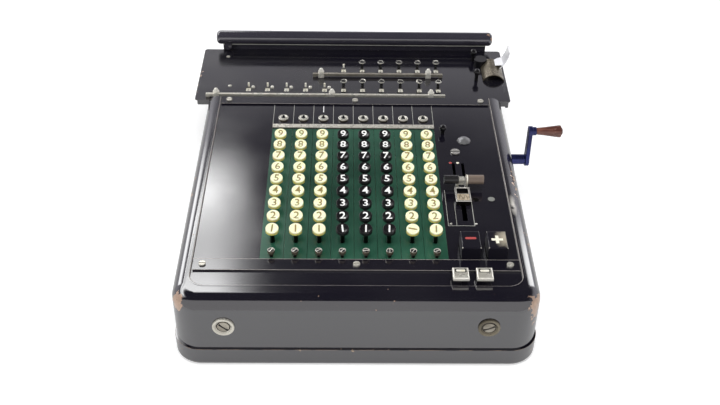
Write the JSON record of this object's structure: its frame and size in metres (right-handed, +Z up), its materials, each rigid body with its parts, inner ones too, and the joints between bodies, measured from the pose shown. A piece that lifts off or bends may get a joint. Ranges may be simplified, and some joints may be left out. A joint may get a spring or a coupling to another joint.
{
  "type": "key-set stepped-drum calculator",
  "caption": "Desk calculator with a full digit keyboard, sliding two-register carriage and side drive crank over stepped drums.",
  "frame": {"origin": "centre of the tray's flat underside, on the table", "axes": "+Z up, +X to the operator's right (crank side), +Y to the back"},
  "size_m": [0.3682, 0.4195, 0.0922],
  "materials": {
    "black_enamel": "gloss black stove enamel, worn at the edges",
    "green_enamel": "semi-gloss green",
    "nickel": "aged nickel plate",
    "bright_nickel": "polished nickel plate",
    "machine_steel": "oiled machine steel",
    "blued_steel": "heat-blued steel",
    "gear_brass": "cut brass",
    "rubber_pad": "matt rubber",
    "cream_keytop": "aged cream keytop",
    "black_keytop": "gloss black keytop",
    "tan_horn": "tan grip",
    "black_knob": "gloss black knob",
    "dial_white": "ivory dial with dark figures",
    "grip_wood": "stained turned wood"
  },
  "bodies": {
    "root": {"base_tray": "black_enamel", "rubber_feet": "rubber_pad", "housing_shell": "black_enamel", "rear_hood": "black_enamel", "lock_knobs": "nickel", "side_frames": "machine_steel", "frame_bars": "machine_steel", "setting_shafts": "machine_steel", "keyboard_plate": "black_enamel", "column_strips": "green_enamel", "cover_strips": "black_enamel", "panel_fittings": "nickel", "check_windows": "nickel"},
    "crank": {"crank_shaft": "blued_steel", "crank_arm": "blued_steel"},
    "grip": {"crank_grip": "grip_wood"},
    "cross_shaft": {"main_shaft": "gear_brass"},
    "drum_1": {"stepped_drum_1": "machine_steel"},
    "drum_2": {"stepped_drum_2": "machine_steel"},
    "drum_3": {"stepped_drum_3": "machine_steel"},
    "drum_4": {"stepped_drum_4": "machine_steel"},
    "column_1_keys": {"keys_column_1": "cream_keytop"},
    "column_2_keys": {"keys_column_2": "cream_keytop"},
    "column_3_keys": {"keys_column_3": "cream_keytop"},
    "column_4_keys": {"keys_column_4": "black_keytop"},
    "column_5_keys": {"keys_column_5": "black_keytop"},
    "column_6_keys": {"keys_column_6": "black_keytop"},
    "column_7_keys": {"keys_column_7": "cream_keytop"},
    "column_8_keys": {"keys_column_8": "cream_keytop"},
    "clear_keys": {"column_clear_keys": "nickel"},
    "plus": {"plus_key": "black_keytop"},
    "minus": {"minus_key": "black_keytop"},
    "left_tab": {"left_tab_key": "bright_nickel"},
    "right_tab": {"right_tab_key": "bright_nickel"},
    "dark_lever": {"dark_lever": "black_knob"},
    "tan_lever": {"tan_lever": "tan_horn"},
    "slide_key": {"slide_key": "nickel"},
    "push_knob": {"panel_knob": "black_knob"},
    "carriage": {"carriage_cover": "black_enamel", "carriage_frame": "machine_steel", "bare_dials": "dial_white", "pointer_rails": "nickel", "carriage_knobs": "black_knob"},
    "lower_pointer_1": {"lower_pointer_1": "nickel"},
    "lower_pointer_2": {"lower_pointer_2": "nickel"},
    "lower_pointer_3": {"lower_pointer_3": "nickel"},
    "upper_pointer_1": {"upper_pointer_1": "nickel"},
    "upper_pointer_2": {"upper_pointer_2": "nickel"},
    "lower_dial_1": {"lower_dial_1": "dial_white"},
    "lower_dial_2": {"lower_dial_2": "dial_white"},
    "lower_dial_3": {"lower_dial_3": "dial_white"},
    "lower_dial_4": {"lower_dial_4": "dial_white"},
    "lower_dial_5": {"lower_dial_5": "dial_white"},
    "lower_dial_6": {"lower_dial_6": "dial_white"},
    "upper_dial_1": {"upper_dial_1": "dial_white"},
    "upper_dial_2": {"upper_dial_2": "dial_white"},
    "upper_dial_3": {"upper_dial_3": "dial_white"},
    "upper_dial_4": {"upper_dial_4": "dial_white"},
    "upper_dial_5": {"upper_dial_5": "dial_white"},
    "clearing_lever": {"clearing_lever": "bright_nickel"}
  },
  "joints": [
    {"name": "crank_turn", "type": "hinge", "parent": "root", "child": "crank", "pos_m": [0.152, 0.027, 0.046], "axis": [1, 0, 0], "continuous": true},
    {"name": "grip_spin", "type": "hinge", "parent": "crank", "child": "grip", "pos_m": [0.19, 0.027, 0.08], "axis": [1, 0, 0], "continuous": true},
    {"name": "cross_shaft_turn", "type": "hinge", "parent": "root", "child": "cross_shaft", "pos_m": [0, 0.04325, 0.027], "axis": [1, 0, 0], "continuous": true},
    {"name": "drum_1_turn", "type": "hinge", "parent": "root", "child": "drum_1", "pos_m": [-0.062, 0, 0.027], "axis": [0, 1, 0], "continuous": true},
    {"name": "drum_2_turn", "type": "hinge", "parent": "root", "child": "drum_2", "pos_m": [-0.022, 0, 0.027], "axis": [0, 1, 0], "continuous": true},
    {"name": "drum_3_turn", "type": "hinge", "parent": "root", "child": "drum_3", "pos_m": [0.018, 0, 0.027], "axis": [0, 1, 0], "continuous": true},
    {"name": "drum_4_turn", "type": "hinge", "parent": "root", "child": "drum_4", "pos_m": [0.058, 0, 0.027], "axis": [0, 1, 0], "continuous": true},
    {"name": "column_1_press", "type": "slide", "parent": "root", "child": "column_1_keys", "axis": [0, 0, -1], "range_m": [0, 0.004]},
    {"name": "column_2_press", "type": "slide", "parent": "root", "child": "column_2_keys", "axis": [0, 0, -1], "range_m": [0, 0.004]},
    {"name": "column_3_press", "type": "slide", "parent": "root", "child": "column_3_keys", "axis": [0, 0, -1], "range_m": [0, 0.004]},
    {"name": "column_4_press", "type": "slide", "parent": "root", "child": "column_4_keys", "axis": [0, 0, -1], "range_m": [0, 0.004]},
    {"name": "column_5_press", "type": "slide", "parent": "root", "child": "column_5_keys", "axis": [0, 0, -1], "range_m": [0, 0.004]},
    {"name": "column_6_press", "type": "slide", "parent": "root", "child": "column_6_keys", "axis": [0, 0, -1], "range_m": [0, 0.004]},
    {"name": "column_7_press", "type": "slide", "parent": "root", "child": "column_7_keys", "axis": [0, 0, -1], "range_m": [0, 0.004]},
    {"name": "column_8_press", "type": "slide", "parent": "root", "child": "column_8_keys", "axis": [0, 0, -1], "range_m": [0, 0.004]},
    {"name": "clear_keys_press", "type": "slide", "parent": "root", "child": "clear_keys", "axis": [0, 0, -1], "range_m": [0, 0.0018], "stiffness_N_per_m": 250, "springref_m": -0.003},
    {"name": "plus_key_press", "type": "slide", "parent": "root", "child": "plus", "axis": [0, 0, -1], "range_m": [0, 0.004]},
    {"name": "minus_key_press", "type": "slide", "parent": "root", "child": "minus", "axis": [0, 0, -1], "range_m": [0, 0.004]},
    {"name": "left_tab_press", "type": "slide", "parent": "root", "child": "left_tab", "axis": [0, 0, -1], "range_m": [0, 0.003], "stiffness_N_per_m": 250, "springref_m": -0.003},
    {"name": "right_tab_press", "type": "slide", "parent": "root", "child": "right_tab", "axis": [0, 0, -1], "range_m": [0, 0.003], "stiffness_N_per_m": 250, "springref_m": -0.003},
    {"name": "dark_lever_slide", "type": "slide", "parent": "root", "child": "dark_lever", "axis": [0, 1, 0], "range_m": [0, 0.036]},
    {"name": "tan_lever_slide", "type": "slide", "parent": "root", "child": "tan_lever", "axis": [0, 1, 0], "range_m": [0, 0.036]},
    {"name": "slide_key_slide", "type": "slide", "parent": "root", "child": "slide_key", "axis": [0, 1, 0], "range_m": [-0.028, 0]},
    {"name": "push_knob_press", "type": "slide", "parent": "root", "child": "push_knob", "axis": [0, 0, -1], "range_m": [0, 0.0025], "stiffness_N_per_m": 250, "springref_m": -0.003},
    {"name": "carriage_shift", "type": "slide", "parent": "root", "child": "carriage", "axis": [1, 0, 0], "range_m": [-0.02, 0.08]},
    {"name": "lower_pointer_1_slide", "type": "slide", "parent": "carriage", "child": "lower_pointer_1", "axis": [1, 0, 0], "range_m": [-0.0076, 0.1132]},
    {"name": "lower_pointer_2_slide", "type": "slide", "parent": "carriage", "child": "lower_pointer_2", "axis": [1, 0, 0], "range_m": [-0.1132, 0.0962]},
    {"name": "lower_pointer_3_slide", "type": "slide", "parent": "carriage", "child": "lower_pointer_3", "axis": [1, 0, 0], "range_m": [-0.0962, 0.0116]},
    {"name": "upper_pointer_1_slide", "type": "slide", "parent": "carriage", "child": "upper_pointer_1", "axis": [1, 0, 0], "range_m": [-0.0056, 0.1077]},
    {"name": "upper_pointer_2_slide", "type": "slide", "parent": "carriage", "child": "upper_pointer_2", "axis": [1, 0, 0], "range_m": [-0.1077, 0.0121]},
    {"name": "lower_dial_1_turn", "type": "hinge", "parent": "carriage", "child": "lower_dial_1", "pos_m": [0.088, 0.126, 0.06], "axis": [0, 0, 1], "continuous": true},
    {"name": "lower_dial_2_turn", "type": "hinge", "parent": "carriage", "child": "lower_dial_2", "pos_m": [0.068, 0.126, 0.06], "axis": [0, 0, 1], "continuous": true},
    {"name": "lower_dial_3_turn", "type": "hinge", "parent": "carriage", "child": "lower_dial_3", "pos_m": [0.048, 0.126, 0.06], "axis": [0, 0, 1], "continuous": true},
    {"name": "lower_dial_4_turn", "type": "hinge", "parent": "carriage", "child": "lower_dial_4", "pos_m": [0.028, 0.126, 0.06], "axis": [0, 0, 1], "continuous": true},
    {"name": "lower_dial_5_turn", "type": "hinge", "parent": "carriage", "child": "lower_dial_5", "pos_m": [0.008, 0.126, 0.06], "axis": [0, 0, 1], "continuous": true},
    {"name": "lower_dial_6_turn", "type": "hinge", "parent": "carriage", "child": "lower_dial_6", "pos_m": [-0.012, 0.126, 0.06], "axis": [0, 0, 1], "continuous": true},
    {"name": "upper_dial_1_turn", "type": "hinge", "parent": "carriage", "child": "upper_dial_1", "pos_m": [0.088, 0.165, 0.06], "axis": [0, 0, 1], "continuous": true},
    {"name": "upper_dial_2_turn", "type": "hinge", "parent": "carriage", "child": "upper_dial_2", "pos_m": [0.068, 0.165, 0.06], "axis": [0, 0, 1], "continuous": true},
    {"name": "upper_dial_3_turn", "type": "hinge", "parent": "carriage", "child": "upper_dial_3", "pos_m": [0.048, 0.165, 0.06], "axis": [0, 0, 1], "continuous": true},
    {"name": "upper_dial_4_turn", "type": "hinge", "parent": "carriage", "child": "upper_dial_4", "pos_m": [0.028, 0.165, 0.06], "axis": [0, 0, 1], "continuous": true},
    {"name": "upper_dial_5_turn", "type": "hinge", "parent": "carriage", "child": "upper_dial_5", "pos_m": [0.008, 0.165, 0.06], "axis": [0, 0, 1], "continuous": true},
    {"name": "clearing_lever_pull", "type": "hinge", "parent": "carriage", "child": "clearing_lever", "pos_m": [0.137, 0.172, 0.067], "axis": [0, 0, 1], "range_deg": [0, 30], "stiffness_Nm_per_rad": 0.05, "springref_deg": -11.46}
  ],
  "couplings": [
    {"joint": "cross_shaft_turn", "follows": "crank_turn", "ratio": -1},
    {"joint": "drum_1_turn", "follows": "crank_turn", "ratio": 1},
    {"joint": "drum_2_turn", "follows": "crank_turn", "ratio": 1},
    {"joint": "drum_3_turn", "follows": "crank_turn", "ratio": 1},
    {"joint": "drum_4_turn", "follows": "crank_turn", "ratio": 1}
  ]
}
